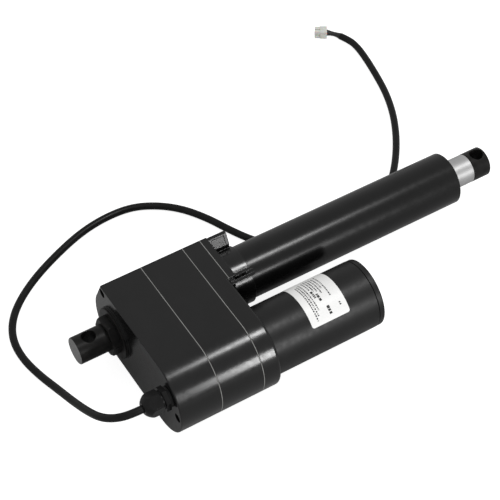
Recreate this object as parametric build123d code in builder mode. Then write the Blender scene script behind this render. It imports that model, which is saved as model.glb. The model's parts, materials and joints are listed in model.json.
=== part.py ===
from build123d import *
import os
from math import acos, cos, pi, radians, sin, sqrt, tan

# Linear actuator with an offset motor: a spur gear train in a cast housing turns a lead screw,
# and the screw drives a nut on the rod. Units are millimetres.
#
# Frame: the origin is the centre of the rear eye's cross hole. +X is the way the rod extends,
# +Z is up and the motor lies on the -Y side. The tube and the screw share the line y = z = 0.

# ---- driving dimensions ----
HALF_HEIGHT = 37.5      # gear housing, from the tube axis to its flat top and bottom
CENTRES = 75.0          # tube axis to motor axis
STROKE = 200.0
EYE_TO_EYE = 409.5      # hole to hole, rod in
EYE_HOLE_R = 6.5
TUBE_R, TUBE_WALL = 24.75, 3.25
ROD_R, ROD_WALL = 13.9, 2.9
MOTOR_R, MOTOR_WALL = 31.5, 2.0
WALL = 4.0              # casting wall
FIT = 0.05              # radial gap of fixed parts in their seats
SEAT = 0.02             # radial gap of parts pressed on a shaft
RUNNING = 0.06          # radial gap of turning and sliding fits

# ---- stations along X ----
REAR_FACE = 26.0
COVER_END = 65.3
GASKET = 0.6
BODY_START = COVER_END + GASKET
BODY_END = 106.4
PLATE_START = BODY_END + GASKET
PLATE_END = 124.0       # front face of the plate, where the motor and the tube holder sit
HOLDER_START = PLATE_END + GASKET
HOLDER_END = 149.5
COLLAR_END = 151.5
TUBE_END = 375.4
ROD_END = 399.8
BULKHEAD = 4.1          # rear wall of the gear chamber
CHAMBER = BODY_START + BULKHEAD

# ---- gear train ----
PRESSURE_ANGLE = 20.0
IDLER_Y, MOTOR_Y = -CENTRES / 2, -CENTRES
MOTOR_TEETH, IDLER_TEETH, FIRST_MODULE = 15, 45, 1.25
SMALL_TEETH, FINAL_TEETH, SECOND_MODULE = 15, 35, 1.5
FIRST_MESH = (92.0, 100.0)      # face widths along X
SECOND_MESH = (73.0, 88.0)
SCREW_LEAD = 4.0

# ---- fasteners, as (y, z) ----
LONG_SCREWS = [(20.8, 30.8), (20.8, -30.8), (-106.0, 0.0)]
HOLDER_SCREWS = [(25.5, 15.0), (25.5, -15.0), (-14.0, 30.5), (-14.0, -30.5)]
MOTOR_SCREWS = [(MOTOR_Y, 20.0), (MOTOR_Y, -20.0)]
HOLDER_SCREW_R, MOTOR_SCREW_R = 2.5, 2.4

# ---- cord ----
CORD_R = 3.5
FLOOR = -HALF_HEIGHT
LYING = FLOOR + CORD_R + 0.05   # height of the cord's centre where it lies
GLAND_Y, GLAND_Z = -92.0, 14.0
CAP_END = 1.6                   # outer end of the gland's cap nut
CORD_START = 5.0
# Out of the gland, down to the floor, round the rear of the housing and along the tube's far side.
CORD_ROUTE = [
    (CORD_START, GLAND_Y, GLAND_Z), (-8.5, GLAND_Y, GLAND_Z), (-20.5, -87, 11), (-28.5, -76, 4.5),
    (-32, -59, -5), (-34, -36, -17.5), (-37, -8, -28.5), (-42, 17, LYING), (-46.5, 41, LYING),
    (-45, 64, LYING), (-36, 84, LYING), (-20, 101.5, LYING), (4, 118.5, LYING), (34, 133.5, LYING),
    (66, 146, LYING), (95, 151, LYING), (122, 149.5, LYING), (144, 138.5, LYING),
    (162, 122, LYING), (176, 99.5, LYING), (186, 76, LYING), (198, 53, LYING), (216, 32, LYING),
    (243, 18.5, LYING), (276, 13.5, LYING), (308, 20, LYING), (337, 35.5, LYING),
    (361, 58.5, LYING), (378, 79, LYING), (393, 101, LYING), (406.5, 126, LYING),
    (417, 154, LYING), (424, 184, LYING), (428.5, 208, LYING), (430.3, 224, LYING),
    (429.5, 236.5, LYING), (424.8, 247, LYING),
]
CONNECTOR_AT = Vector(415.0, 258.5, FLOOR + 4.7)
CONNECTOR_HEADING = 148.0       # degrees from +X, the way its terminals point

os.makedirs("parts", exist_ok=True)


def save(piece, name):
    """Label a finished piece and write it as a node."""
    piece.label = name
    export_step(piece, f"parts/{name}.step")


def across(x):
    """The plane square to the rod at x. Its local axes are +Y and +Z."""
    return Plane.YZ.offset(x)


HOLDER_EDGE_Y = -26.2   # the tube holder's straight side towards the motor


# ---- shapes shared by several pieces; each one adds to, or cuts, the part being built ----
def bar(start, end, radius, y=0.0, z=0.0, mode=Mode.ADD):
    """A round bar along X about the line (y, z)."""
    with BuildSketch(across(start)) as section:
        with Locations((y, z)):
            Circle(radius)
    extrude(section.sketch, amount=end - start, mode=mode)


def hexagon(start, end, across_flats, y=0.0, z=0.0, turn=0.0):
    """A hexagonal bar along X about the line (y, z)."""
    with BuildSketch(across(start)) as section:
        with Locations((y, z)):
            RegularPolygon(across_flats / sqrt(3), 6, rotation=turn)
    extrude(section.sketch, amount=end - start)


def bore(start, end, radius, y=0.0, z=0.0):
    """A round hole along X about the line (y, z)."""
    bar(start, end, radius, y, z, mode=Mode.SUBTRACT)


def casting(start, end, inset=0.0, mode=Mode.ADD):
    """A slab of the housing's outline: round at the motor, round with two corners at the tube."""
    reach = HALF_HEIGHT - inset
    corner = 24.0 - inset / 2
    hip = (reach * cos(radians(30)), reach * sin(radians(30)))
    with BuildSketch(across(start)) as section:
        with BuildLine():
            Polyline((MOTOR_Y, reach), (corner, reach), hip)
            ThreePointArc(hip, (reach, 0), (hip[0], -hip[1]))
            Polyline((hip[0], -hip[1]), (corner, -reach), (MOTOR_Y, -reach))
            ThreePointArc((MOTOR_Y, -reach), (MOTOR_Y - reach, 0), (MOTOR_Y, reach))
        make_face()
    extrude(section.sketch, amount=end - start, mode=mode)


def gear_section(teeth, module, at_y, turn):
    """The outline of a spur gear with involute flanks, its first tooth at turn degrees from +Y."""
    pitch_r = teeth * module / 2
    base_r = pitch_r * cos(radians(PRESSURE_ANGLE))
    tip_r = pitch_r + 0.93 * module
    root_r = pitch_r - 1.25 * module
    thinning = 0.12 / (2 * pitch_r)     # backlash, as an angle
    involute_at_pitch = tan(radians(PRESSURE_ANGLE)) - radians(PRESSURE_ANGLE)

    def half_angle(radius):
        pressure = acos(min(1.0, base_r / radius))
        return pi / (2 * teeth) - thinning + involute_at_pitch - (tan(pressure) - pressure)

    def at(radius, angle):
        return (at_y + radius * cos(angle), radius * sin(angle))

    flank_start = max(base_r, root_r + 0.1)
    flank = [flank_start + (tip_r - flank_start) * step / 3 for step in range(4)]
    pitch = 2 * pi / teeth
    with BuildSketch(across(0)) as section:
        with BuildLine() as outline:
            for tooth in range(teeth):
                middle = radians(turn) + tooth * pitch
                rise = [at(r, middle - half_angle(r)) for r in flank]
                fall = [at(r, middle + half_angle(r)) for r in reversed(flank)]
                foot = half_angle(flank_start)
                next_foot = at(root_r, middle + pitch - foot)
                Line(at(root_r, middle - foot), rise[0])
                Spline(*rise)
                ThreePointArc(rise[-1], at(tip_r, middle), fall[0])
                Spline(*fall)
                Line(fall[-1], at(root_r, middle + foot))
                ThreePointArc(at(root_r, middle + foot), at(root_r, middle + pitch / 2), next_foot)
        make_face(outline.edges())
    return section.sketch


def spur_gear(span, teeth, module, at_y, turn):
    """A spur gear between the two stations of span."""
    section = gear_section(teeth, module, at_y, turn).moved(Location((span[0], 0, 0)))
    extrude(section, amount=span[1] - span[0])


def cap_screw(start, end, shank_r, y, z, head_r, head_length):
    """A socket head screw along X; its head is at the start."""
    with BuildPart() as screw:
        bar(start, start + head_length, head_r, y, z)
        bar(start, end, shank_r, y, z)
        with BuildSketch(across(start)) as socket:
            with Locations((y, z)):
                RegularPolygon(head_r * 0.48, 6)
        extrude(socket.sketch, amount=head_length * 0.55, mode=Mode.SUBTRACT)
    return screw.part


def ball_bearing(start, end, bore_r, outer_r, at_y=0.0):
    """A sealed ball bearing as one ring, with a groove on each side between its races."""
    middle_r = (bore_r + outer_r) / 2
    groove = (outer_r - bore_r) / 6
    with BuildPart() as bearing:
        bar(start, end, outer_r, at_y)
        bore(start, end, bore_r, at_y)
        for side in (start, end - 0.4):
            with BuildSketch(across(side)) as seal:
                with Locations((at_y, 0)):
                    Circle(middle_r + groove)
                    Circle(middle_r - groove, mode=Mode.SUBTRACT)
            extrude(seal.sketch, amount=0.4, mode=Mode.SUBTRACT)
    return bearing.part


def gasket(start, end):
    """A flat gasket with the housing's outline, open over the chamber."""
    with BuildPart() as sheet:
        casting(start, end)
        casting(start, end, inset=WALL, mode=Mode.SUBTRACT)
    return sheet.part


def tube_side(start, end):
    """The tube side of a slab of the housing's outline, cut straight towards the motor."""
    with BuildPart() as slab:
        casting(start, end)
        with BuildSketch(across(start)) as cut:
            with Locations((HOLDER_EDGE_Y, 0)):
                Rectangle(100, 2 * HALF_HEIGHT + 2, align=(Align.MAX, Align.CENTER))
        extrude(cut.sketch, amount=end - start, mode=Mode.SUBTRACT)
    return slab.part


# ---- gear housing ----
BOSS_R = 24.5           # round boss on the rear face, under the lock nut and its washer
BOSS_START = 24.2
WASHER_START = 22.6
REAR_WALL = 31.0        # inner face of the rear wall
NECK_R = 9.0            # the rear eye's threaded neck
PILLAR_R = 5.5
LONG_SCREW_R, LONG_HEAD_R = 2.0, 3.9
HEAD_SEAT = 36.0        # where the long screws' heads bear
THREAD_R = 7.5          # the gland's thread

with BuildPart() as rear_cover:
    casting(REAR_FACE, COVER_END)
    fillet(rear_cover.faces().sort_by(Axis.X)[0].outer_wire().edges(), 1.0)
    casting(REAR_WALL, COVER_END, inset=WALL, mode=Mode.SUBTRACT)
    for y, z in LONG_SCREWS:
        bar(REAR_WALL, COVER_END, PILLAR_R, y, z)
    bar(BOSS_START, REAR_FACE, BOSS_R)
    bore(BOSS_START, REAR_WALL, NECK_R + FIT)
    bore(REAR_FACE, REAR_WALL, THREAD_R + FIT, GLAND_Y, GLAND_Z)
    for y, z in LONG_SCREWS:
        bore(REAR_FACE, HEAD_SEAT, LONG_HEAD_R + 0.3, y, z)
        bore(HEAD_SEAT, COVER_END, LONG_SCREW_R + 0.2, y, z)
save(rear_cover.part, "rear_cover")

REAR_BEARING = (54.0, 63.0)
REAR_BEARING_R, FRONT_BEARING_R = 13.0, 16.0
FRONT_BEARING = (108.0, 120.0)
BEARING_BOSS = (50.0, 17.5)     # start and radius of the rear bearing's housing
PIN_R = 4.0                     # the idler's fixed pin
PIN_SPAN = (63.0, 113.0)
PIN_BOSS = (60.0, 8.0)
SCREW_PASSAGE_R = 8.0

with BuildPart() as gearbox_body:
    casting(BODY_START, BODY_END)
    casting(CHAMBER, BODY_END, inset=WALL, mode=Mode.SUBTRACT)
    bar(BEARING_BOSS[0], CHAMBER, BEARING_BOSS[1])
    bore(BEARING_BOSS[0], REAR_BEARING[1], REAR_BEARING_R + FIT)
    bore(REAR_BEARING[1], CHAMBER, SCREW_PASSAGE_R)
    bar(PIN_BOSS[0], CHAMBER, PIN_BOSS[1], IDLER_Y)
    bore(PIN_SPAN[0], CHAMBER, PIN_R + FIT / 2, IDLER_Y)
    for y, z in LONG_SCREWS:
        bar(BODY_START, BODY_END, PILLAR_R, y, z)
        bore(BODY_START, BODY_END, LONG_SCREW_R + 0.2, y, z)
save(gearbox_body.part, "gearbox_body")

MOTOR_PILOT_R = 12.0
COLLAR_PASSAGE_R = 12.5
SCREW_CLEARANCE_R, HEAD_POCKET_R = 2.7, 4.6
MOTOR_HEAD_SEAT, HOLDER_HEAD_SEAT = 112.0, 113.0
LONG_SCREW_END = 119.0
PLATE_EDGE_R = 2.7      # round the motor side only
with BuildPart() as front_plate:
    casting(PLATE_START, PLATE_END)
    outer_edges = front_plate.faces().sort_by(Axis.X)[-1].outer_wire().edges()
    fillet(outer_edges, PLATE_EDGE_R)
    add(tube_side(PLATE_START, PLATE_END))
    bore(PLATE_START, FRONT_BEARING[1], FRONT_BEARING_R + FIT)
    bore(FRONT_BEARING[1], PLATE_END, COLLAR_PASSAGE_R)
    bore(PLATE_START, PLATE_END, MOTOR_PILOT_R, MOTOR_Y)
    bore(PLATE_START, PIN_SPAN[1], PIN_R + FIT / 2, IDLER_Y)
    for y, z in LONG_SCREWS:
        bore(PLATE_START, LONG_SCREW_END + 1, LONG_SCREW_R + FIT, y, z)
    for y, z in MOTOR_SCREWS:
        bore(PLATE_START, PLATE_END, SCREW_CLEARANCE_R, y, z)
        bore(PLATE_START, MOTOR_HEAD_SEAT, HEAD_POCKET_R, y, z)
    for y, z in HOLDER_SCREWS:
        bore(PLATE_START, PLATE_END, SCREW_CLEARANCE_R, y, z)
        bore(PLATE_START, HOLDER_HEAD_SEAT, HEAD_POCKET_R, y, z)
save(front_plate.part, "front_plate")

save(gasket(COVER_END, BODY_START), "rear_gasket")
save(gasket(BODY_END, PLATE_START), "front_gasket")

# ---- tube holder: a flange, two corner gussets and a split collar ----
COLLAR_R = 27.0
FLANGE_END = 131.0
EAR_ANGLE = 128.0       # where the collar is split, in degrees from +Y
EAR_TOP_R = 44.2
EAR_END = 148.5
EAR_THICKNESS, SPLIT = 3.0, 2.4
EAR_FACE = EAR_THICKNESS + SPLIT / 2    # an ear's outer side, from the middle of the split
CLAMP_X = 142.0
CLAMP_R = 36.0          # the clamp screw's distance from the tube's axis
CLAMP_SCREW_R, CLAMP_HEAD = 2.0, (3.5, 2.0)
GUSSET_Y = (15.3, 20.4)         # foot and head of the gusset's steep inner side
GUSSET_Z = (27.1, 36.2)
GUSSET_CORNERS = [(23.4, 36.9), (32.3, 18.6), (32.3, 0)]    # its outer side, along the housing's
PANEL = (12.6, 8.0, 0.5)        # a shallow panel in that side: length, width and depth
SET_SCREW_X, SET_SCREW_ANGLE = 139.0, 187.0
SET_SCREW_R, SET_SCREW_LENGTH = 3.4, 3.8


def gusset(side):
    """A corner gusset above (side 1) or below (side -1) the tube."""
    foot, head = zip(GUSSET_Y, GUSSET_Z)
    with BuildSketch(across(FLANGE_END)) as section:
        with BuildLine():
            Polyline((foot[0], 0), foot, head, *GUSSET_CORNERS, (foot[0], 0))
        make_face()
        if side < 0:
            mirror(about=Plane.XZ, mode=Mode.REPLACE)
    extrude(section.sketch, amount=HOLDER_END - FLANGE_END)
    rise = (head[0] - foot[0], head[1] - foot[1])
    middle = ((FLANGE_END + HOLDER_END) / 2, sum(GUSSET_Y) / 2, side * sum(GUSSET_Z) / 2)
    with BuildSketch(Plane(origin=middle, x_dir=(1, 0, 0), z_dir=(0, -rise[1], side * rise[0]))) as panel:
        RectangleRounded(PANEL[0], PANEL[1], 1.0)
    extrude(panel.sketch, amount=-PANEL[2], mode=Mode.SUBTRACT)


with BuildPart() as tube_holder:
    add(tube_side(HOLDER_START, FLANGE_END))
    gusset(1)
    gusset(-1)
    bar(HOLDER_START, COLLAR_END, COLLAR_R)
    with BuildSketch(across(HOLDER_START)) as ears:
        with PolarLocations(0, 1, start_angle=EAR_ANGLE):
            Rectangle(EAR_TOP_R, 2 * EAR_FACE, align=(Align.MIN, Align.CENTER))
    extrude(ears.sketch, amount=EAR_END - HOLDER_START)
    with BuildSketch(across(FLANGE_END)) as split:
        with PolarLocations(0, 1, start_angle=EAR_ANGLE):
            Rectangle(EAR_TOP_R + 2, SPLIT, align=(Align.MIN, Align.CENTER))
    extrude(split.sketch, amount=30, mode=Mode.SUBTRACT)
    with BuildSketch(across(HOLDER_START + 0.8)) as split_end:
        with PolarLocations(EAR_TOP_R, 1, start_angle=EAR_ANGLE):
            Rectangle(8, SPLIT)
    extrude(split_end.sketch, amount=FLANGE_END - HOLDER_START, mode=Mode.SUBTRACT)
    bore(HOLDER_START, COLLAR_END + 5, TUBE_R + FIT)
    for y, z in HOLDER_SCREWS:
        bore(HOLDER_START, FLANGE_END - 0.5, HOLDER_SCREW_R + FIT, y, z)
    clamp_line = Plane(
        origin=(CLAMP_X, CLAMP_R * cos(radians(EAR_ANGLE)), CLAMP_R * sin(radians(EAR_ANGLE))),
        x_dir=(1, 0, 0),
        z_dir=(0, -sin(radians(EAR_ANGLE)), cos(radians(EAR_ANGLE))),
    )
    set_screw_line = Plane(
        origin=(SET_SCREW_X, 0, 0),
        x_dir=(1, 0, 0),
        z_dir=(0, cos(radians(SET_SCREW_ANGLE)), sin(radians(SET_SCREW_ANGLE))),
    )
    with BuildSketch(clamp_line) as clamp_hole:
        Circle(CLAMP_SCREW_R + 0.2)
    extrude(clamp_hole.sketch, amount=8, both=True, mode=Mode.SUBTRACT)
    with BuildSketch(clamp_line.offset(EAR_FACE)) as head_recess:
        Circle(CLAMP_HEAD[0] + 0.2)
    extrude(head_recess.sketch, amount=-(CLAMP_HEAD[1] + 0.1), mode=Mode.SUBTRACT)
    with BuildSketch(set_screw_line.offset(TUBE_R)) as set_screw_hole:
        Circle(SET_SCREW_R + FIT)
    extrude(set_screw_hole.sketch, amount=5, mode=Mode.SUBTRACT)
save(tube_holder.part, "tube_holder")

with BuildPart() as holder_gasket:
    add(tube_side(PLATE_END, HOLDER_START))
    bore(PLATE_END, HOLDER_START, TUBE_R - 4)
    for y, z in HOLDER_SCREWS:
        bore(PLATE_END, HOLDER_START, SCREW_CLEARANCE_R, y, z)
save(holder_gasket.part, "holder_gasket")

with BuildPart() as clamp_screw:
    with BuildSketch(clamp_line.offset(-EAR_FACE)) as shank:
        Circle(CLAMP_SCREW_R)
    extrude(shank.sketch, amount=2 * EAR_FACE - 0.1)
    with BuildSketch(clamp_line.offset(EAR_FACE - 0.1)) as head:
        Circle(CLAMP_HEAD[0])
    extrude(head.sketch, amount=-CLAMP_HEAD[1])
    with BuildSketch(clamp_line.offset(EAR_FACE - 0.1)) as socket:
        RegularPolygon(1.7, 6)
    extrude(socket.sketch, amount=-1.4, mode=Mode.SUBTRACT)
save(clamp_screw.part, "clamp_screw")

with BuildPart() as tube_set_screw:
    with BuildSketch(set_screw_line.offset(TUBE_R + 2 * FIT)) as body:
        Circle(SET_SCREW_R)
    extrude(body.sketch, amount=SET_SCREW_LENGTH)
    with BuildSketch(set_screw_line.offset(TUBE_R + 2 * FIT + SET_SCREW_LENGTH)) as set_socket:
        RegularPolygon(1.8, 6)
    extrude(set_socket.sketch, amount=-2.0, mode=Mode.SUBTRACT)
save(tube_set_screw.part, "tube_set_screw")

HEAD_R = 4.25           # of the screws inside the front plate
for name, places, head_seat, head_length, end, shank_r, head_r in (
    ("housing_screws", LONG_SCREWS, HEAD_SEAT, 4.0, LONG_SCREW_END, LONG_SCREW_R, LONG_HEAD_R),
    ("holder_screws", HOLDER_SCREWS, HOLDER_HEAD_SEAT, 5.0, 129.5, HOLDER_SCREW_R, HEAD_R),
    ("motor_screws", MOTOR_SCREWS, MOTOR_HEAD_SEAT, 4.5, 129.0, MOTOR_SCREW_R, HEAD_R),
):
    screws = [cap_screw(head_seat - head_length, end, shank_r, y, z, head_r, head_length)
              for y, z in places]
    save(Compound(children=screws), name)

# ---- rear eye and its nuts ----
REAR_EYE_R = 12.5
REAR_EYE = (-13.8, 15.0)
LOCK_NUT = (REAR_EYE[1], WASHER_START)
INNER_NUT = (REAR_WALL, 38.0)
WASHER_R = 24.0


def cross_hole(x, reach):
    """The vertical hole of an eye."""
    with BuildSketch(Plane.XY.offset(-reach)) as hole:
        with Locations((x, 0)):
            Circle(EYE_HOLE_R)
    extrude(hole.sketch, amount=2 * reach, mode=Mode.SUBTRACT)


with BuildPart() as rear_eye:
    bar(*REAR_EYE, REAR_EYE_R)
    chamfer(rear_eye.faces().sort_by(Axis.X)[0].edges(), 0.6)
    bar(REAR_EYE[1], INNER_NUT[1], NECK_R)
    cross_hole(0.0, REAR_EYE_R + 1)
save(rear_eye.part, "rear_eye")

with BuildPart() as rear_washer:
    bar(WASHER_START, BOSS_START, WASHER_R)
    chamfer(rear_washer.faces().sort_by(Axis.X)[0].edges(), 0.3)
    bore(WASHER_START, BOSS_START, NECK_R + FIT)
save(rear_washer.part, "rear_washer")

for name, (start, end), across_flats, turn in (
    ("rear_lock_nut", LOCK_NUT, 32.0, -10.0),
    ("rear_inner_nut", INNER_NUT, 27.0, 0.0),
):
    with BuildPart(mode=Mode.PRIVATE) as rounding:
        bar(start, end, across_flats * 0.57)
        chamfer(rounding.faces().sort_by(Axis.X)[0].edges(), 1.4)
    with BuildPart() as nut:
        hexagon(start, end, across_flats, turn=turn)
        add(rounding.part, mode=Mode.INTERSECT)
        bore(start, end, NECK_R + FIT)
    save(nut.part, name)

# ---- lead screw, its bearings and the final gear ----
SCREW_R = 8.0
SCREW_START, SCREW_END = 51.5, 352.0
SEAT_R, NECK_SCREW_R, JOURNAL_R = 7.5, 5.75, 5.0
SHOULDER_R = 10.0
KEY_START, KEY_LENGTH, KEY_WIDTH, KEY_HEIGHT = 75.5, 10.0, 3.0, 3.2
GROOVE_START, GROOVE_WIDTH, GROOVE_DEPTH = 52.5, 1.0, 0.8
with BuildPart() as lead_screw:
    bar(SCREW_START, SECOND_MESH[0] + 1, JOURNAL_R)
    bar(SECOND_MESH[0] + 1, FRONT_BEARING[0], NECK_SCREW_R)
    bar(FRONT_BEARING[0], FRONT_BEARING[1], SEAT_R)
    bar(FRONT_BEARING[1], PLATE_END, SHOULDER_R)
    bar(PLATE_END, SCREW_END, SCREW_R)
    chamfer(lead_screw.faces().sort_by(Axis.X)[-1].edges(), 1.5)
    with BuildSketch(across(KEY_START)) as keyway:
        with Locations((0, NECK_SCREW_R)):
            Rectangle(KEY_WIDTH + 2 * FIT, KEY_HEIGHT)
    extrude(keyway.sketch, amount=KEY_LENGTH, mode=Mode.SUBTRACT)
    with BuildSketch(across(GROOVE_START)) as groove:
        Circle(JOURNAL_R)
        Circle(JOURNAL_R - GROOVE_DEPTH, mode=Mode.SUBTRACT)
    extrude(groove.sketch, amount=GROOVE_WIDTH, mode=Mode.SUBTRACT)
save(lead_screw.part, "lead_screw")

with BuildPart() as screw_circlip:
    circlip = (GROOVE_START + FIT, GROOVE_START + GROOVE_WIDTH - FIT)
    bar(*circlip, JOURNAL_R + 2.2)
    bore(*circlip, JOURNAL_R - GROOVE_DEPTH + FIT)
    with BuildSketch(across(GROOVE_START)) as mouth:
        Rectangle(2 * JOURNAL_R, JOURNAL_R, align=(Align.MIN, Align.CENTER))
    extrude(mouth.sketch, amount=GROOVE_WIDTH, mode=Mode.SUBTRACT)
save(screw_circlip.part, "screw_circlip")

with BuildPart() as gear_key:
    with BuildSketch(across(KEY_START)) as key:
        with Locations((0, NECK_SCREW_R + 0.15)):
            Rectangle(KEY_WIDTH, KEY_HEIGHT)
    extrude(key.sketch, amount=KEY_LENGTH)
save(gear_key.part, "gear_key")

FINAL_WEB = (3.0, 11.0, 21.5)       # recess beside each gear's web: depth, inner and outer radius
with BuildPart() as final_gear:
    gear_start = SECOND_MESH[0] + 1.5
    spur_gear((gear_start, SECOND_MESH[1]), FINAL_TEETH, SECOND_MODULE, 0.0, 180 + 180 / FINAL_TEETH)
    bore(gear_start, SECOND_MESH[1], NECK_SCREW_R + SEAT)
    with BuildSketch(across(gear_start)) as slot:
        with Locations((0, NECK_SCREW_R + 0.25)):
            Rectangle(KEY_WIDTH + 2 * FIT, KEY_HEIGHT + 0.2)
    extrude(slot.sketch, amount=SECOND_MESH[1] - gear_start, mode=Mode.SUBTRACT)
    for face_x in (gear_start, SECOND_MESH[1] - FINAL_WEB[0]):
        with BuildSketch(across(face_x)) as web:
            Circle(FINAL_WEB[2])
            Circle(FINAL_WEB[1], mode=Mode.SUBTRACT)
        extrude(web.sketch, amount=FINAL_WEB[0], mode=Mode.SUBTRACT)
save(final_gear.part, "final_gear")

save(ball_bearing(*REAR_BEARING, JOURNAL_R + SEAT, REAR_BEARING_R), "screw_rear_bearing")
save(ball_bearing(*FRONT_BEARING, SEAT_R + SEAT, FRONT_BEARING_R), "screw_front_bearing")

# ---- idler: gear and pinion on two bushes, turning on a fixed pin ----
BUSH_R, HUB_R = 6.0, 9.0
IDLER_WEB = (2.0, 13.0, 24.0)
HUB_START = FIRST_MESH[0] - 0.5
with BuildPart() as idler_pin:
    bar(*PIN_SPAN, PIN_R, IDLER_Y)
save(idler_pin.part, "idler_pin")

with BuildPart() as idler_pinion:
    spur_gear((SECOND_MESH[0], HUB_START), SMALL_TEETH, SECOND_MODULE, IDLER_Y, 0.0)
    bar(HUB_START, FIRST_MESH[1], HUB_R, IDLER_Y)
    bore(SECOND_MESH[0], FIRST_MESH[1], BUSH_R + SEAT, IDLER_Y)
save(idler_pinion.part, "idler_pinion")

with BuildPart() as idler_gear:
    spur_gear(FIRST_MESH, IDLER_TEETH, FIRST_MODULE, IDLER_Y, 180 + 180 / IDLER_TEETH)
    bore(*FIRST_MESH, HUB_R + SEAT, IDLER_Y)
    for face_x in (FIRST_MESH[0], FIRST_MESH[1] - IDLER_WEB[0]):
        with BuildSketch(across(face_x)) as web:
            with Locations((IDLER_Y, 0)):
                Circle(IDLER_WEB[2])
                Circle(IDLER_WEB[1], mode=Mode.SUBTRACT)
        extrude(web.sketch, amount=IDLER_WEB[0], mode=Mode.SUBTRACT)
save(idler_gear.part, "idler_gear")

bushes = []
for start, end in ((SECOND_MESH[0], 80.0), (FIRST_MESH[1] - 8, FIRST_MESH[1])):
    with BuildPart() as bush:
        bar(start, end, BUSH_R, IDLER_Y)
        bore(start, end, PIN_R + RUNNING, IDLER_Y)
    bushes.append(bush.part)
save(Compound(children=bushes), "idler_bushes")

# ---- motor ----
CAN_END = 228.0
CAP_FACE = 234.0
SHAFT_R = 4.0
SHAFT = (90.5, 231.0)
PINION_END, PINION_HUB_R = 104.0, 7.0
CAN_INNER_R = MOTOR_R - MOTOR_WALL
CORE = (150.0, 200.0)
CORE_R = 24.6
MOTOR_BEARING_R, CAP_BEARING_R = 11.0, 9.5
CAN_FLOOR = PLATE_END + 2.5        # inner face of the can's end
BEARING_CUP = (134.0, 14.0)         # end and radius of the front bearing's cup
SCREW_LUG = (130.0, 4.5)
with BuildPart() as motor_can:
    bar(PLATE_END, CAN_END, MOTOR_R, MOTOR_Y)
    bore(CAN_FLOOR, CAN_END, CAN_INNER_R, MOTOR_Y)
    bar(CAN_FLOOR, BEARING_CUP[0], BEARING_CUP[1], MOTOR_Y)
    bore(PLATE_END, CAN_FLOOR, 2 * SHAFT_R, MOTOR_Y)
    bore(CAN_FLOOR, BEARING_CUP[0], MOTOR_BEARING_R + FIT, MOTOR_Y)
    for y, z in MOTOR_SCREWS:
        bar(CAN_FLOOR, SCREW_LUG[0], SCREW_LUG[1], y, z)
        bore(PLATE_END, SCREW_LUG[0], MOTOR_SCREW_R + FIT, y, z)
save(motor_can.part, "motor_can")

CAP_R = 31.3
SEAM = 0.8              # width of the groove between the can and its cap
with BuildPart() as motor_end_cap:
    bar(CAN_END + SEAM, CAP_FACE, CAP_R, MOTOR_Y)
    fillet(motor_end_cap.faces().sort_by(Axis.X)[-1].edges(), 1.2)
    bar(CAN_END, CAN_END + SEAM, CAP_R - 1.1, MOTOR_Y)
    bar(CAN_END - 3, CAN_END, CAN_INNER_R - FIT, MOTOR_Y)
    bore(CAN_END - 3, CAP_FACE - 2.5, CAP_BEARING_R + FIT, MOTOR_Y)
    bore(CAP_FACE - 1.5, CAP_FACE, CAP_BEARING_R, MOTOR_Y)
save(motor_end_cap.part, "motor_end_cap")

front_bearing = ball_bearing(CAN_FLOOR + 0.1, 133.6, SHAFT_R + SEAT, MOTOR_BEARING_R, MOTOR_Y)
save(front_bearing, "motor_front_bearing")
cap_bearing = ball_bearing(225.3, 231.3, SHAFT_R + SEAT, CAP_BEARING_R, MOTOR_Y)
save(cap_bearing, "motor_rear_bearing")

with BuildPart() as motor_shaft:
    bar(*SHAFT, SHAFT_R, MOTOR_Y)
save(motor_shaft.part, "motor_shaft")

with BuildPart() as motor_pinion:
    spur_gear((FIRST_MESH[0] - 0.5, FIRST_MESH[1] + 0.5), MOTOR_TEETH, FIRST_MODULE, MOTOR_Y, 0.0)
    bar(FIRST_MESH[1] + 0.5, PINION_END, PINION_HUB_R, MOTOR_Y)
    bore(FIRST_MESH[0] - 0.5, PINION_END, SHAFT_R + SEAT, MOTOR_Y)
save(motor_pinion.part, "motor_pinion")

SLOTS = 12
with BuildPart() as armature_core:
    bar(*CORE, CORE_R, MOTOR_Y)
    bore(*CORE, SHAFT_R + SEAT, MOTOR_Y)
    with BuildSketch(across(CORE[0])) as slots:
        with Locations((MOTOR_Y, 0)):
            with PolarLocations(0, SLOTS):
                with Locations((17.0, 0)):
                    RectangleRounded(9.0, 4.0, 1.5)
                with Locations((23.0, 0)):
                    Rectangle(4.0, 1.6)
    extrude(slots.sketch, amount=CORE[1] - CORE[0], mode=Mode.SUBTRACT)
save(armature_core.part, "armature_core")

end_turns = []
for start, end in ((140.5, CORE[0]), (CORE[1], 209.0)):
    with BuildPart() as turns:
        bar(start, end, 22.0, MOTOR_Y)
        fillet(turns.edges().filter_by(GeomType.CIRCLE), 3.0)
        bore(start, end, 9.0, MOTOR_Y)
    end_turns.append(turns.part)
save(Compound(children=end_turns), "armature_windings")

COMMUTATOR = (210.0, 221.0)
COMMUTATOR_R = 11.0
with BuildPart() as commutator:
    bar(*COMMUTATOR, COMMUTATOR_R, MOTOR_Y)
    bore(*COMMUTATOR, SHAFT_R + SEAT, MOTOR_Y)
    with BuildSketch(across(COMMUTATOR[0])) as gaps:
        with Locations((MOTOR_Y, 0)):
            with PolarLocations(COMMUTATOR_R - 0.5, SLOTS):
                Rectangle(1.4, 0.6)
    extrude(gaps.sketch, amount=COMMUTATOR[1] - COMMUTATOR[0], mode=Mode.SUBTRACT)
save(commutator.part, "commutator")

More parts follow.
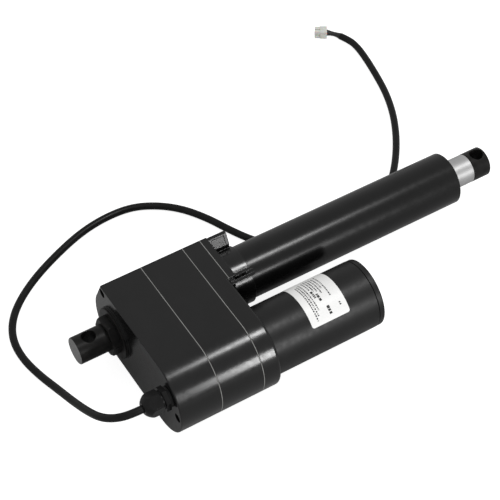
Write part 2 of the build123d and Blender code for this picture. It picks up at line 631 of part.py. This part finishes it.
magnets = []
for middle in (90.0, 270.0):
    with BuildPart() as magnet:
        with BuildSketch(across(146.0)) as arc_section:
            with Locations((MOTOR_Y, 0)):
                Circle(CAN_INNER_R - FIT)
                Circle(CORE_R + 0.7, mode=Mode.SUBTRACT)
                with PolarLocations(0, 1, start_angle=middle + 180):
                    Rectangle(70, 70, align=(Align.MIN, Align.CENTER), mode=Mode.SUBTRACT)
        extrude(arc_section.sketch, amount=58)
    magnets.append(magnet.part)
save(Compound(children=magnets), "magnets")

BRUSH = (212.5, 218.5)
HOLDER_RING = (211.0, 224.5)        # the brush holder's ring, and the disc that closes its end
DISC_START = 220.0
with BuildPart() as brush_holder:
    bar(*HOLDER_RING, CAN_INNER_R - FIT, MOTOR_Y)
    bore(*HOLDER_RING, 23.0, MOTOR_Y)
    bar(DISC_START, HOLDER_RING[1], 27.0, MOTOR_Y)
    bore(DISC_START, HOLDER_RING[1], COMMUTATOR_R + 1.0, MOTOR_Y)
save(brush_holder.part, "brush_holder")

brushes = []
for side in (1, -1):
    with BuildPart() as brush:
        with BuildSketch(across(BRUSH[0])) as block:
            with Locations((MOTOR_Y, side * 17.0)):
                Rectangle(5.0, 11.4)
            with Locations((MOTOR_Y, 0)):
                Circle(COMMUTATOR_R + 0.1, mode=Mode.SUBTRACT)
        extrude(block.sketch, amount=BRUSH[1] - BRUSH[0])
    brushes.append(brush.part)
save(Compound(children=brushes), "brushes")

# The rating label is a curved sheet round the motor, clear of any lettering.
LABEL = (163.0, 201.0)
LABEL_ANGLES = (38.0, 140.5)
LABEL_THICKNESS = 0.15
LABEL_REACH = 60.0      # past the label, for the wedge that bounds its angles
with BuildPart() as label:
    with BuildSketch(across(LABEL[0])) as sheet:
        with Locations((MOTOR_Y, 0)):
            Circle(MOTOR_R + LABEL_THICKNESS + 0.02)
            Circle(MOTOR_R + SEAT, mode=Mode.SUBTRACT)
        corners = [
            (MOTOR_Y + LABEL_REACH * cos(radians(angle)), LABEL_REACH * sin(radians(angle)))
            for angle in (LABEL_ANGLES[0], sum(LABEL_ANGLES) / 2, LABEL_ANGLES[1])
        ]
        with BuildLine():
            Polyline((MOTOR_Y, 0), *corners, (MOTOR_Y, 0))
        make_face(mode=Mode.INTERSECT)
    extrude(sheet.sketch, amount=LABEL[1] - LABEL[0])
save(label.part, "rating_label")

# ---- outer tube with the parts in its mouth ----
BUSH_START = 353.0
with BuildPart() as outer_tube:
    bar(HOLDER_START, TUBE_END, TUBE_R)
    bore(HOLDER_START, TUBE_END, TUBE_R - TUBE_WALL)
    chamfer(outer_tube.faces().sort_by(Axis.X)[-1].edges(), 0.5)
save(outer_tube.part, "outer_tube")

with BuildPart() as guide_bush:
    bar(BUSH_START, TUBE_END - 5, TUBE_R - TUBE_WALL - FIT)
    bore(BUSH_START, TUBE_END - 5, ROD_R + RUNNING)
save(guide_bush.part, "guide_bush")

with BuildPart() as rod_wiper:
    bar(TUBE_END - 5, TUBE_END - 0.8, TUBE_R - TUBE_WALL - FIT)
    bore(TUBE_END - 5, TUBE_END - 0.8, ROD_R + RUNNING)
    chamfer(rod_wiper.faces().sort_by(Axis.X)[-1].edges().sort_by(SortBy.RADIUS)[0], 1.5)
save(rod_wiper.part, "rod_wiper")

# ---- rod ----
NUT = (130.0, 146.0)
SPIGOT_END = 156.0
NUT_R = 17.0
ROD_INNER_R = ROD_R - ROD_WALL
FRONT_EYE_R = 14.0
EYE_LENGTH = 18.3
STUD = 16.0
with BuildPart() as rod_tube:
    bar(NUT[1], ROD_END, ROD_R)
    chamfer(rod_tube.faces().sort_by(Axis.X)[-1].edges(), 0.7)
    bore(NUT[1], ROD_END, ROD_INNER_R)
save(rod_tube.part, "rod_tube")

with BuildPart() as drive_nut:
    bar(*NUT, NUT_R)
    bar(NUT[1], SPIGOT_END, ROD_INNER_R - FIT)
    bore(NUT[0], SPIGOT_END, SCREW_R + RUNNING)
save(drive_nut.part, "drive_nut")

with BuildPart() as glide_ring:
    bar(NUT[0] + 1, NUT[1] - 1, TUBE_R - TUBE_WALL - 0.08)
    bore(NUT[0] + 1, NUT[1] - 1, NUT_R + FIT)
save(glide_ring.part, "glide_ring")

with BuildPart() as front_eye:
    bar(ROD_END, ROD_END + EYE_LENGTH, FRONT_EYE_R)
    chamfer(front_eye.faces().sort_by(Axis.X)[-1].edges(), 0.8)
    bar(ROD_END - STUD, ROD_END, ROD_INNER_R - FIT)
    cross_hole(EYE_TO_EYE, FRONT_EYE_R + 1)
save(front_eye.part, "front_eye")

# ---- switch board behind the gear chamber ----
BOARD_X = 44.0
with BuildPart() as switch_board:
    with BuildSketch(across(BOARD_X)) as board:
        with Locations((-54.0, -8.0)):
            RectangleRounded(46.0, 40.0, 3.0)
    extrude(board.sketch, amount=1.6)
save(switch_board.part, "switch_board")

with BuildPart() as limit_switches:
    with BuildSketch(across(BOARD_X + 1.6)) as cases:
        with Locations((-46.0, -2.0), (-46.0, -18.0)):
            Rectangle(20.0, 10.0)
    extrude(cases.sketch, amount=6.5)
save(limit_switches.part, "limit_switches")

# ---- cable gland ----
GLAND_HEX = (19.2, 23.8)
GLAND_FLATS, GLAND_TURN = 19.4, 37.0
CAP_START, GLAND_CAP_R = 17.4, 10.9
DOME_START = 9.5
with BuildPart() as gland_body:
    hexagon(*GLAND_HEX, GLAND_FLATS, GLAND_Y, GLAND_Z, turn=GLAND_TURN)
    bar(CAP_START, GLAND_HEX[0], 8.6, GLAND_Y, GLAND_Z)
    bar(GLAND_HEX[1], 37.0, THREAD_R, GLAND_Y, GLAND_Z)
    bore(CAP_START, 37.0, 5.5, GLAND_Y, GLAND_Z)
save(gland_body.part, "gland_body")

with BuildPart() as gland_ring:
    bar(GLAND_HEX[1], REAR_FACE, 9.5, GLAND_Y, GLAND_Z)
    fillet(gland_ring.edges().filter_by(GeomType.CIRCLE), 0.6)
    bore(GLAND_HEX[1], REAR_FACE, THREAD_R + FIT, GLAND_Y, GLAND_Z)
save(gland_ring.part, "gland_ring")

with BuildPart() as gland_locknut:
    hexagon(REAR_WALL, 35.0, 19.0, GLAND_Y, GLAND_Z)
    bore(REAR_WALL, 35.0, THREAD_R + FIT, GLAND_Y, GLAND_Z)
save(gland_locknut.part, "gland_locknut")

with BuildPart() as gland_cap:
    hexagon(CAP_END, CAP_START, GLAND_FLATS, GLAND_Y, GLAND_Z, turn=GLAND_TURN)
    with BuildSketch(Plane.XY.offset(GLAND_Z)) as profile:
        with BuildLine():
            shoulder = (DOME_START, GLAND_Y + GLAND_CAP_R)
            tip = (CAP_END, GLAND_Y + 5.4)
            rim = (CAP_START - 0.6, GLAND_Y + GLAND_CAP_R)
            Polyline((CAP_START, GLAND_Y), (CAP_START, rim[1] - 0.6), rim, shoulder)
            Spline(shoulder, (5.0, GLAND_Y + 9.2), tip, tangents=[(-1, 0), (-0.5, -1)])
            Polyline(tip, (CAP_END, GLAND_Y), (CAP_START, GLAND_Y))
        make_face()
    revolve(profile.sketch, axis=Axis((0, GLAND_Y, GLAND_Z), (1, 0, 0)), mode=Mode.INTERSECT)
    bore(CAP_END, 6.0, CORD_R + 0.3, GLAND_Y, GLAND_Z)
    bore(6.0, CAP_START, 7.0, GLAND_Y, GLAND_Z)
save(gland_cap.part, "gland_cap")

with BuildPart() as gland_seal:
    bar(6.2, 17.0, 6.9, GLAND_Y, GLAND_Z)
    bore(6.2, 17.0, CORD_R + FIT, GLAND_Y, GLAND_Z)
save(gland_seal.part, "gland_seal")

with BuildPart() as cord_tail:
    bar(CORD_START, 41.0, CORD_R, GLAND_Y, GLAND_Z)
save(cord_tail.part, "cord_tail")


# ---- cord: straight runs joined by arcs as large as the runs allow ----
def bend_radii(route):
    """Each corner's radius, from its turn and its shorter run."""
    points = [Vector(*point) for point in route]
    radii = []
    for before, corner, after in zip(points, points[1:], points[2:]):
        arriving, leaving = corner - before, after - corner
        turn = arriving.get_angle(leaving)
        shorter = min(arriving.length, leaving.length)
        radii.append(0.45 * shorter / tan(radians(turn) / 2))
    return radii


radii = bend_radii(CORD_ROUTE)
print("cord bend radii:", " ".join(f"{radius:.0f}" for radius in radii))
with BuildPart() as cord:
    with BuildLine() as path:
        FilletPolyline(*CORD_ROUTE, radius=radii)
    with BuildSketch(Plane(origin=CORD_ROUTE[0], z_dir=(-1, 0, 0))) as cord_section:
        Circle(CORD_R)
    sweep(cord_section.sketch, path=path.wire())
cord_length = path.wire().length
expected = pi * CORD_R**2 * cord_length
print(f"cord length {cord_length:.0f} mm, volume / (section x length) {cord.part.volume / expected:.4f}")
save(cord.part, "cord")

# ---- connector: sleeve over the cord's end, housing with four silos, and their terminals ----
heading = Vector(cos(radians(CONNECTOR_HEADING)), sin(radians(CONNECTOR_HEADING)), 0)
sideways = Vector(-heading.Y, heading.X, 0)
cord_end = Vector(*CORD_ROUTE[-1])
cord_heading = (cord_end - Vector(*CORD_ROUTE[-2])).normalized()
SLEEVE_NECK_R, SLEEVE_END_R = 2.5, 3.3
neck_heading = (cord_heading + heading).normalized()
neck_at = cord_end + cord_heading * 3.5 + neck_heading * 1.5
sleeve_stations = [
    (cord_end, cord_heading, CORD_R),
    (neck_at, neck_heading, SLEEVE_NECK_R),
    (CONNECTOR_AT, heading, SLEEVE_END_R),
]
with BuildPart() as connector_sleeve:
    sections = []
    for centre, direction, radius in sleeve_stations:
        with BuildSketch(Plane(origin=centre, x_dir=(0, 0, 1), z_dir=direction)) as ring:
            Circle(radius)
        sections.append(ring.sketch)
    loft(sections)
save(connector_sleeve.part, "connector_sleeve")

SILO_PITCH, SILO_SIDE, SILO_LENGTH = 4.6, 3.9, 5.5
HOUSING_SIZE, HOUSING_LENGTH = (9.8, 9.4), 7.0
connector_back = Plane(origin=CONNECTOR_AT, x_dir=sideways, z_dir=heading)
with BuildPart() as connector_housing:
    with BuildSketch(connector_back) as block:
        RectangleRounded(*HOUSING_SIZE, 0.6)
    extrude(block.sketch, amount=HOUSING_LENGTH)
    with BuildSketch(connector_back.offset(HOUSING_LENGTH)) as silos:
        with GridLocations(SILO_PITCH, SILO_PITCH, 2, 2):
            Rectangle(SILO_SIDE, SILO_SIDE)
    extrude(silos.sketch, amount=SILO_LENGTH)
    with BuildSketch(connector_back.offset(HOUSING_LENGTH + SILO_LENGTH)) as cavities:
        with GridLocations(SILO_PITCH, SILO_PITCH, 2, 2):
            Circle(1.3)
    extrude(cavities.sketch, amount=-(HOUSING_LENGTH + SILO_LENGTH - 2), mode=Mode.SUBTRACT)
save(connector_housing.part, "connector_housing")

terminals = []
for place in GridLocations(SILO_PITCH, SILO_PITCH, 2, 2):
    with BuildPart() as terminal:
        with BuildSketch(connector_back.offset(2.0)) as pin:
            with Locations(place):
                Circle(1.2)
                Circle(0.7, mode=Mode.SUBTRACT)
        extrude(pin.sketch, amount=HOUSING_LENGTH + SILO_LENGTH - 3)
    terminals.append(terminal.part)
save(Compound(children=terminals), "connector_terminals")
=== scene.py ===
import json
import math
import random
import bmesh
import bpy
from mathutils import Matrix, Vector


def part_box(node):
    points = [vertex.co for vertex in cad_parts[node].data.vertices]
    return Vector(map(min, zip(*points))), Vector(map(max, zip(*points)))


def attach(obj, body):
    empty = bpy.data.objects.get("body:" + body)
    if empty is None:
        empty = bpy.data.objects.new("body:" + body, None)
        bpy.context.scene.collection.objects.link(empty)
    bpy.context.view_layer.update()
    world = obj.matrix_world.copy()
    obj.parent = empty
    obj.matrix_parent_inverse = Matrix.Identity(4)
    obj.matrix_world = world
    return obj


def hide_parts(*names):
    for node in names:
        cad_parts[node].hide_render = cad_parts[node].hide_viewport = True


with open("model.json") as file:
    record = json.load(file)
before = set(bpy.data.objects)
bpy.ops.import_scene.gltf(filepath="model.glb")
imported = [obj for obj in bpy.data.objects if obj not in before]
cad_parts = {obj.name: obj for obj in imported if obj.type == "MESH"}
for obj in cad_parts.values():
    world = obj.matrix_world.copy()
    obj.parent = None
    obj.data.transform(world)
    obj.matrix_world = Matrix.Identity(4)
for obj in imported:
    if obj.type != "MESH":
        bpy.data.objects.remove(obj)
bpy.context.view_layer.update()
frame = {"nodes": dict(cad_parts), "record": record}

# Linear actuator on a pale floor. Units are metres, in the CAD model's frame: the origin is the rear
# eye's cross hole, +X is the way the rod extends, +Z is up, and the motor lies on the -Y side.

scene = bpy.context.scene
nodes_of = frame["nodes"]
FLOOR_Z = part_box("gearbox_body")[0][2]
MM = 0.001


# ---- camera ----
CAMERA_AT = Vector((-0.3416, -0.8163, 1.1230))
CAMERA_AIM = Vector((0.17354, 0.01943, 0.0))
LENS_MM = 119.6
SENSOR_MM = 36.0


def make_camera():
    """The camera looks down on the actuator from behind and to the motor's side."""
    data = bpy.data.cameras.new("camera")
    data.lens = LENS_MM
    data.sensor_width = SENSOR_MM
    camera = bpy.data.objects.new("camera", data)
    camera.location = CAMERA_AT
    camera.rotation_mode = "QUATERNION"
    camera.rotation_quaternion = (CAMERA_AIM - CAMERA_AT).to_track_quat("-Z", "Y")
    scene.collection.objects.link(camera)
    scene.camera = camera


make_camera()

# ---- cord ----
CORD_RADIUS = 3.5 * MM
LYING = -33.95          # height of the lying cord's centre, in millimetres
GLAND = (-92.0, 14.0)   # the gland's axis in y and z, in millimetres
# The route's points in millimetres: out of the gland, down to the floor, round the housing's rear
# and along the tube's far side to the connector.
CORD_ROUTE = [
    (5, *GLAND), (-8.5, *GLAND), (-20.5, -87, 11), (-28.5, -76, 4.5),
    (-32, -59, -5), (-34, -36, -17.5), (-37, -8, -28.5), (-42, 17, LYING), (-46.5, 41, LYING),
    (-45, 64, LYING), (-36, 84, LYING), (-20, 101.5, LYING), (4, 118.5, LYING), (34, 133.5, LYING),
    (66, 146, LYING), (95, 151, LYING), (122, 149.5, LYING), (144, 138.5, LYING),
    (162, 122, LYING), (176, 99.5, LYING), (186, 76, LYING), (198, 53, LYING), (216, 32, LYING),
    (243, 18.5, LYING), (276, 13.5, LYING), (308, 20, LYING), (337, 35.5, LYING),
    (361, 58.5, LYING), (378, 79, LYING), (393, 101, LYING), (406.5, 126, LYING),
    (417, 154, LYING), (424, 184, LYING), (428.5, 208, LYING), (430.3, 224, LYING),
    (429.5, 236.5, LYING), (424.8, 247, LYING),
]


def make_cord():
    """The free cord: one smooth spline through its whole length."""
    data = bpy.data.curves.new("cord_sheath", "CURVE")
    data.dimensions = "3D"
    data.bevel_depth = 1.0      # times each point's radius
    data.bevel_resolution = 7
    data.resolution_u = 12
    data.use_fill_caps = True
    spline = data.splines.new("NURBS")
    spline.points.add(len(CORD_ROUTE) - 1)
    for point, place in zip(spline.points, CORD_ROUTE):
        point.co = (*(value * MM for value in place), 1.0)
        point.radius = CORD_RADIUS
    spline.order_u = 3
    spline.use_endpoint_u = True
    cord = bpy.data.objects.new("cord_sheath", data)
    scene.collection.objects.link(cord)
    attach(cord, "housing")
    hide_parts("cord")
    return cord


cord = make_cord()


# ---- materials ----
class Maker:
    """A material under construction: its node tree, and short ways to add to it."""

    def __init__(self, name):
        self.material = bpy.data.materials.new(name)
        self.material.use_nodes = True
        self.tree = self.material.node_tree
        self.shader = self.tree.nodes["Principled BSDF"]
        self.coordinates = self.add("ShaderNodeTexCoord").outputs["Object"]

    def add(self, kind):
        return self.tree.nodes.new(kind)

    def link(self, source, target):
        self.tree.links.new(source, target)

    def set(self, **values):
        """Constant values, by socket name with _ for a space."""
        for name, value in values.items():
            self.shader.inputs[name.replace("_", " ")].default_value = value

    def stretched(self, scale):
        """Object coordinates stretched by scale along X, Y and Z."""
        mapping = self.add("ShaderNodeMapping")
        mapping.inputs["Scale"].default_value = scale
        self.link(self.coordinates, mapping.inputs["Vector"])
        return mapping.outputs["Vector"]

    def noise(self, scale, detail=3.0, vector=None):
        """Noise with about scale features a metre."""
        texture = self.add("ShaderNodeTexNoise")
        texture.inputs["Scale"].default_value = scale
        texture.inputs["Detail"].default_value = detail
        self.link(vector or self.coordinates, texture.inputs["Vector"])
        return texture.outputs["Fac"]

    def ranged(self, source, low, high, start=0.3, stop=0.7):
        """source, from start to stop, mapped to low to high."""
        mapped = self.add("ShaderNodeMapRange")
        for name, value in (("From Min", start), ("From Max", stop), ("To Min", low), ("To Max", high)):
            mapped.inputs[name].default_value = value
        self.link(source, mapped.inputs["Value"])
        return mapped.outputs["Result"]

    def mixed(self, factor, first, second):
        """Two colours, or colour sockets, blended by factor."""
        mix = self.add("ShaderNodeMix")
        mix.data_type = "RGBA"
        self.link(factor, mix.inputs["Factor"])
        for name, value in (("A", first), ("B", second)):
            socket = next(s for s in mix.inputs if s.name == name and s.type == "RGBA")
            if isinstance(value, tuple):
                socket.default_value = (*value, 1.0)
            else:
                self.link(value, socket)
        return next(s for s in mix.outputs if s.type == "RGBA")

    def mottled(self, scale, detail, first, second):
        """Two colours blended in soft patches."""
        return self.mixed(self.ranged(self.noise(scale, detail), 0.0, 1.0), first, second)

    def bump(self, height, distance, strength=1.0, rounded=0.0):
        """Relief from height; rounded is the radius that sharp edges seem to have."""
        relief = self.add("ShaderNodeBump")
        relief.inputs["Strength"].default_value = strength
        relief.inputs["Distance"].default_value = distance
        self.link(height, relief.inputs["Height"])
        if rounded:
            bevel = self.add("ShaderNodeBevel")
            bevel.samples = 6
            bevel.inputs["Radius"].default_value = rounded
            self.link(bevel.outputs["Normal"], relief.inputs["Normal"])
        self.link(relief.outputs["Normal"], self.shader.inputs["Normal"])

    def colour(self, source):
        self.link(source, self.shader.inputs["Base Color"])

    def roughness(self, source):
        self.link(source, self.shader.inputs["Roughness"])


def shade(value, warmth=0.0):
    """A grey, or nearly grey, colour."""
    return (value * (1 + warmth), value, value * (1 - warmth))


def paint(name, tones, roughness, peel, rounded, shine=0.3):
    """Black paint: slow tone changes, an orange-peel skin and softened edges."""
    m = Maker(name)
    m.set(IOR=1.5, Specular_IOR_Level=shine)
    m.colour(m.mottled(45, 4, *(shade(tone) for tone in tones)))
    m.roughness(m.ranged(m.noise(220, 5), *roughness))
    m.bump(m.noise(1400, 2), peel, rounded=rounded)
    return m.material


FACING_DEPTH = 0.0003   # how far the bare face reaches along X, with the fade after it
FACING_FADE = 0.0001


def black_oxide(name, faced_at=None):
    """Blackened steel with turning marks; faced_at is an x behind which its face is bare."""
    m = Maker(name)
    m.set(IOR=1.5, Specular_IOR_Level=0.16)
    turned = m.noise(1.0, 3, m.stretched((2600, 60, 60)))
    tone = m.mottled(160, 5, shade(0.005), shade(0.012, 0.05))
    if faced_at is not None:
        split = m.add("ShaderNodeSeparateXYZ")
        m.link(m.coordinates, split.inputs["Vector"])
        bare = m.ranged(split.outputs["X"], 1.0, 0.0, faced_at, faced_at + FACING_FADE)
        face_tone = m.mottled(700, 4, shade(0.17), shade(0.26))
        tone = m.mixed(bare, tone, face_tone)
    m.colour(tone)
    m.roughness(m.ranged(turned, 0.3, 0.44))
    m.bump(turned, 0.000004, 0.5, rounded=0.0004)
    return m.material


def bright_metal(name, tones, roughness, marks, warmth=0.0):
    """Bare metal with fine marks round its axis."""
    m = Maker(name)
    m.set(Metallic=1.0)
    lines = m.noise(1.0, 4, m.stretched(marks))
    m.colour(m.mottled(90, 4, *(shade(tone, warmth) for tone in tones)))
    m.roughness(m.ranged(lines, *roughness))
    m.bump(lines, 0.000008, 0.35, rounded=0.0003)
    return m.material


def moulded(name, colours, roughness, grain=900, relief=0.00002, sheen=0.0, shine=0.5):
    """Moulded plastic or rubber with a fine matt grain."""
    m = Maker(name)
    m.set(IOR=1.46, Sheen_Weight=sheen, Specular_IOR_Level=shine)
    m.colour(m.mottled(120, 4, *colours))
    m.roughness(m.ranged(m.noise(300, 4), *roughness))
    m.bump(m.noise(grain, 3), relief, rounded=0.0003)
    return m.material


def nylon(name):
    """White, slightly see-through moulded nylon."""
    m = Maker(name)
    m.set(IOR=1.5, Subsurface_Weight=0.35, Subsurface_Scale=0.002, Transmission_Weight=0.12)
    m.colour(m.mottled(260, 4, (0.72, 0.72, 0.66), (0.84, 0.84, 0.79)))
    m.roughness(m.ranged(m.noise(500, 3), 0.25, 0.4))
    m.bump(m.noise(1600, 2), 0.00001, rounded=0.0003)
    return m.material


def paper(name):
    """Smooth white label film with a faint fibre."""
    m = Maker(name)
    m.set(IOR=1.45, Coat_Weight=0.15, Coat_Roughness=0.3)
    m.colour(m.mottled(900, 6, (0.88, 0.88, 0.87), (0.94, 0.94, 0.93)))
    m.roughness(m.ranged(m.noise(1200, 4), 0.38, 0.55))
    m.bump(m.noise(2500, 4), 0.000006)
    return m.material


def ink(name):
    """Flat grey-black printing ink."""
    m = Maker(name)
    m.set(IOR=1.45)
    m.colour(m.mottled(1500, 4, shade(0.01), shade(0.04)))
    m.roughness(m.ranged(m.noise(900, 3), 0.5, 0.65))
    m.bump(m.noise(3000, 3), 0.000003)
    return m.material


# Each slot's maker and its settings: tones are greys, colours are linear RGB, and relief, peel and
# rounded are in metres.
LOOKS = {
    "casting_paint": (paint, {
        "tones": (0.004, 0.006), "roughness": (0.17, 0.23), "peel": 0.000003, "rounded": 0.0007,
        "shine": 0.4}),
    "tube_paint": (paint, {
        "tones": (0.004, 0.006), "roughness": (0.2, 0.26), "peel": 0.000002, "rounded": 0.0004}),
    "motor_paint": (paint, {
        "tones": (0.006, 0.009), "roughness": (0.36, 0.44), "peel": 0.000004, "rounded": 0.0004}),
    "black_steel": (black_oxide, {}),
    "rod_steel": (bright_metal, {
        "tones": (0.5, 0.6), "roughness": (0.34, 0.46), "marks": (2400, 40, 40)}),
    "bright_steel": (bright_metal, {
        "tones": (0.42, 0.55), "roughness": (0.22, 0.38), "marks": (1500, 90, 90)}),
    "bronze": (bright_metal, {
        "tones": (0.42, 0.5), "roughness": (0.3, 0.45), "marks": (900, 90, 90), "warmth": 0.4}),
    "copper": (bright_metal, {
        "tones": (0.4, 0.5), "roughness": (0.25, 0.4), "marks": (2500, 200, 200), "warmth": 0.55}),
    "gasket_sheet": (moulded, {
        "colours": ((0.22, 0.22, 0.21), (0.32, 0.32, 0.31)), "roughness": (0.6, 0.8), "grain": 2000}),
    "black_nylon": (moulded, {
        "colours": (shade(0.004), shade(0.008)), "roughness": (0.18, 0.26), "shine": 0.25}),
    "gear_nylon": (moulded, {
        "colours": ((0.7, 0.67, 0.58), (0.8, 0.77, 0.68)), "roughness": (0.35, 0.5)}),
    "seal_rubber": (moulded, {
        "colours": (shade(0.008), shade(0.014)), "roughness": (0.45, 0.6), "sheen": 0.05}),
    "cord_sheath": (moulded, {
        "colours": (shade(0.004), shade(0.008)), "roughness": (0.26, 0.36), "grain": 1500,
        "relief": 0.00001, "shine": 0.22}),
    "connector_nylon": (nylon, {}),
    "label_film": (paper, {}),
    "magnet_ferrite": (moulded, {
        "colours": (shade(0.03), shade(0.06)), "roughness": (0.5, 0.7), "grain": 2500}),
    "board_green": (moulded, {
        "colours": ((0.01, 0.12, 0.05), (0.02, 0.18, 0.08)), "roughness": (0.3, 0.45)}),
    "carbon": (moulded, {
        "colours": (shade(0.02), shade(0.04)), "roughness": (0.4, 0.6), "grain": 3000}),
}
MATERIALS = {name: make(name, **settings) for name, (make, settings) in LOOKS.items()}
FACED_EYE = black_oxide("faced_black_steel", faced_at=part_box("rear_eye")[0][0] + FACING_DEPTH)


def finish_with(piece, material):
    """The piece's only material."""
    piece.data.materials.clear()
    piece.data.materials.append(material)


slot_of = {entry["node"]: entry["material_slot"] for entry in frame["record"]["subparts"]}
for name, piece in nodes_of.items():
    finish_with(piece, MATERIALS[slot_of[name]])
finish_with(nodes_of["rear_eye"], FACED_EYE)
finish_with(cord, MATERIALS["cord_sheath"])

# ---- printing on the rating label: rows of short dashes, with no lettering ----
MOTOR_Y = -75 * MM
LABEL_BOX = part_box("rating_label")
LABEL_R = 31.67 * MM            # the label's outside, about the motor's axis
LABEL_ANGLES = (38.0, 140.5)    # where it starts and stops, in degrees from +Y
LABEL_THICKNESS = 0.15 * MM
LABEL_CORNER = 2.2 * MM         # the radius of its corners
LABEL_COLUMNS = 48
INK_DEPTH = 0.03 * MM
DASH_STEPS = 3
DASH_SHARES = (0.35, 1.0)       # how long a dash is, as a share of its row's longest
DASH_GAPS = (0.8, 1.8)          # the gap after a dash, in degrees
PRINT_SEED = 4
# Each row: distance from the label's rear edge, its height, where it starts and stops in degrees
# from +Y, and its longest dash in degrees; a longer dash is a small mark.
PRINT_ROWS = [
    (6.6, 1.2, 60, 133, 3.2), (8.8, 1.2, 58, 126, 3.2), (11.2, 1.2, 54, 118, 3.2), (14.0, 2.2, 84, 98, 5),
    (17.0, 2.2, 92, 106, 5), (14.4, 1.2, 54, 80, 3.2), (17.0, 1.2, 52, 86, 3.2), (19.4, 1.2, 52, 88, 3.2),
    (22.0, 1.2, 52, 94, 3.2), (24.6, 1.2, 54, 86, 3.2), (19.6, 2.6, 117, 131, 6),
    (27.4, 1.2, 52, 104, 3.2), (31.4, 1.6, 119, 125, 3),
]


def add_ring(shape, angle, inner, outer, start_x, stop_x):
    """The four corners of a curved sheet's section, at an angle in radians about the motor's axis."""
    return [
        shape.verts.new((x, MOTOR_Y + radius * math.cos(angle), radius * math.sin(angle)))
        for radius, x in ((inner, start_x), (inner, stop_x), (outer, stop_x), (outer, start_x))
    ]


def join_rings(shape, rings):
    """Skin a row of four-cornered rings and close both ends."""
    for before, after in zip(rings, rings[1:]):
        for corner in range(4):
            following = (corner + 1) % 4
            shape.faces.new((before[corner], before[following], after[following], after[corner]))
    shape.faces.new(reversed(rings[0]))
    shape.faces.new(rings[-1])


def finish_mesh(shape, name):
    """The bmesh as a piece fixed to the housing."""
    bmesh.ops.recalc_face_normals(shape, faces=shape.faces)
    mesh = bpy.data.meshes.new(name)
    shape.to_mesh(mesh)
    shape.free()
    piece = bpy.data.objects.new(name, mesh)
    scene.collection.objects.link(piece)
    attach(piece, "housing")
    return piece


def make_label():
    """The label's film: a curved sheet with rounded corners, in the CAD label's place."""
    (start_x, *_), (stop_x, *_) = LABEL_BOX
    first, last = (math.radians(angle) for angle in LABEL_ANGLES)
    shape = bmesh.new()
    rings = []
    for column in range(LABEL_COLUMNS + 1):
        ease = (1 - math.cos(math.pi * column / LABEL_COLUMNS)) / 2     # closer near the corners
        angle = first + (last - first) * ease
        edge = min(angle - first, last - angle) * LABEL_R
        inset = 0.0
        if edge < LABEL_CORNER:
            inset = LABEL_CORNER - math.sqrt(max(0.0, LABEL_CORNER**2 - (LABEL_CORNER - edge) ** 2))
        rings.append(
            add_ring(shape, angle, LABEL_R - LABEL_THICKNESS, LABEL_R, start_x + inset, stop_x - inset))
    join_rings(shape, rings)
    piece = finish_mesh(shape, "label_sheet")
    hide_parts("rating_label")
    finish_with(piece, MATERIALS["label_film"])


def add_dash(shape, start_x, height, start, stop):
    """A thin raised patch on the label's curve, between two angles in degrees."""
    rings = []
    for step in range(DASH_STEPS + 1):
        angle = math.radians(start + (stop - start) * step / DASH_STEPS)
        rings.append(add_ring(shape, angle, LABEL_R, LABEL_R + INK_DEPTH, start_x, start_x + height))
    join_rings(shape, rings)


def make_print():
    """The label's printed rows, as one mesh."""
    draw = random.Random(PRINT_SEED)
    shape = bmesh.new()
    for offset, height, start, stop, longest in PRINT_ROWS:
        angle = start
        while angle < stop:
            length = draw.uniform(*DASH_SHARES) * longest
            end = min(angle + length, stop)
            add_dash(shape, LABEL_BOX[0][0] + offset * MM, height * MM, angle, end)
            angle = end + draw.uniform(*DASH_GAPS)
    finish_with(finish_mesh(shape, "label_print"), ink("label_ink"))


make_label()
make_print()


# ---- floor, sky and lamps ----
FLOOR_GLOW = 0.86       # the floor looks white, and stays dimmer where the parts reflect it
FLOOR_HALF = 6.0        # half the floor's side
FLOOR_DROP = 0.0001     # the floor lies just clear of the housing
SKY_STRENGTH = 0.58


def make_floor():
    """A plain pale floor under the actuator."""
    mesh = bpy.data.meshes.new("floor")
    level = FLOOR_Z - FLOOR_DROP
    corners = [(x * FLOOR_HALF, y * FLOOR_HALF, level) for x, y in ((-1, -1), (1, -1), (1, 1), (-1, 1))]
    mesh.from_pydata(corners, [], [(0, 1, 2, 3)])
    floor = bpy.data.objects.new("floor", mesh)
    scene.collection.objects.link(floor)
    m = Maker("floor_paper")
    m.colour(m.mottled(3, 2, shade(0.52), shade(0.54)))
    m.set(Roughness=0.9, Emission_Color=(1, 1, 1, 1))
    seen = m.add("ShaderNodeLightPath").outputs["Is Camera Ray"]
    m.link(m.ranged(seen, 0.0, FLOOR_GLOW, 0.0, 1.0), m.shader.inputs["Emission Strength"])
    finish_with(floor, m.material)


def make_lamp(name, position, aim, size, power):
    """A rectangular soft lamp."""
    data = bpy.data.lights.new(name, "AREA")
    data.shape = "RECTANGLE"
    data.size, data.size_y = size
    data.energy = power
    lamp = bpy.data.objects.new(name, data)
    lamp.location = position
    lamp.rotation_mode = "QUATERNION"
    lamp.rotation_quaternion = (Vector(aim) - Vector(position)).to_track_quat("-Z", "Y")
    scene.collection.objects.link(lamp)


def make_sky():
    """An even white room."""
    world = bpy.data.worlds.new("room")
    world.use_nodes = True
    background = world.node_tree.nodes["Background"]
    background.inputs["Color"].default_value = (1.0, 1.0, 1.0, 1.0)
    background.inputs["Strength"].default_value = SKY_STRENGTH
    scene.world = world


scene.view_settings.view_transform = "Standard"
make_floor()
make_sky()
make_lamp("overhead_softbox", (0.72, -0.32, 1.62), (0.15, 0.0, 0.0), (0.28, 0.24), 7.4)
make_lamp("side_softbox", (0.63, -1.46, 0.47), (0.12, -0.06, 0.0), (0.12, 0.46), 7.4)
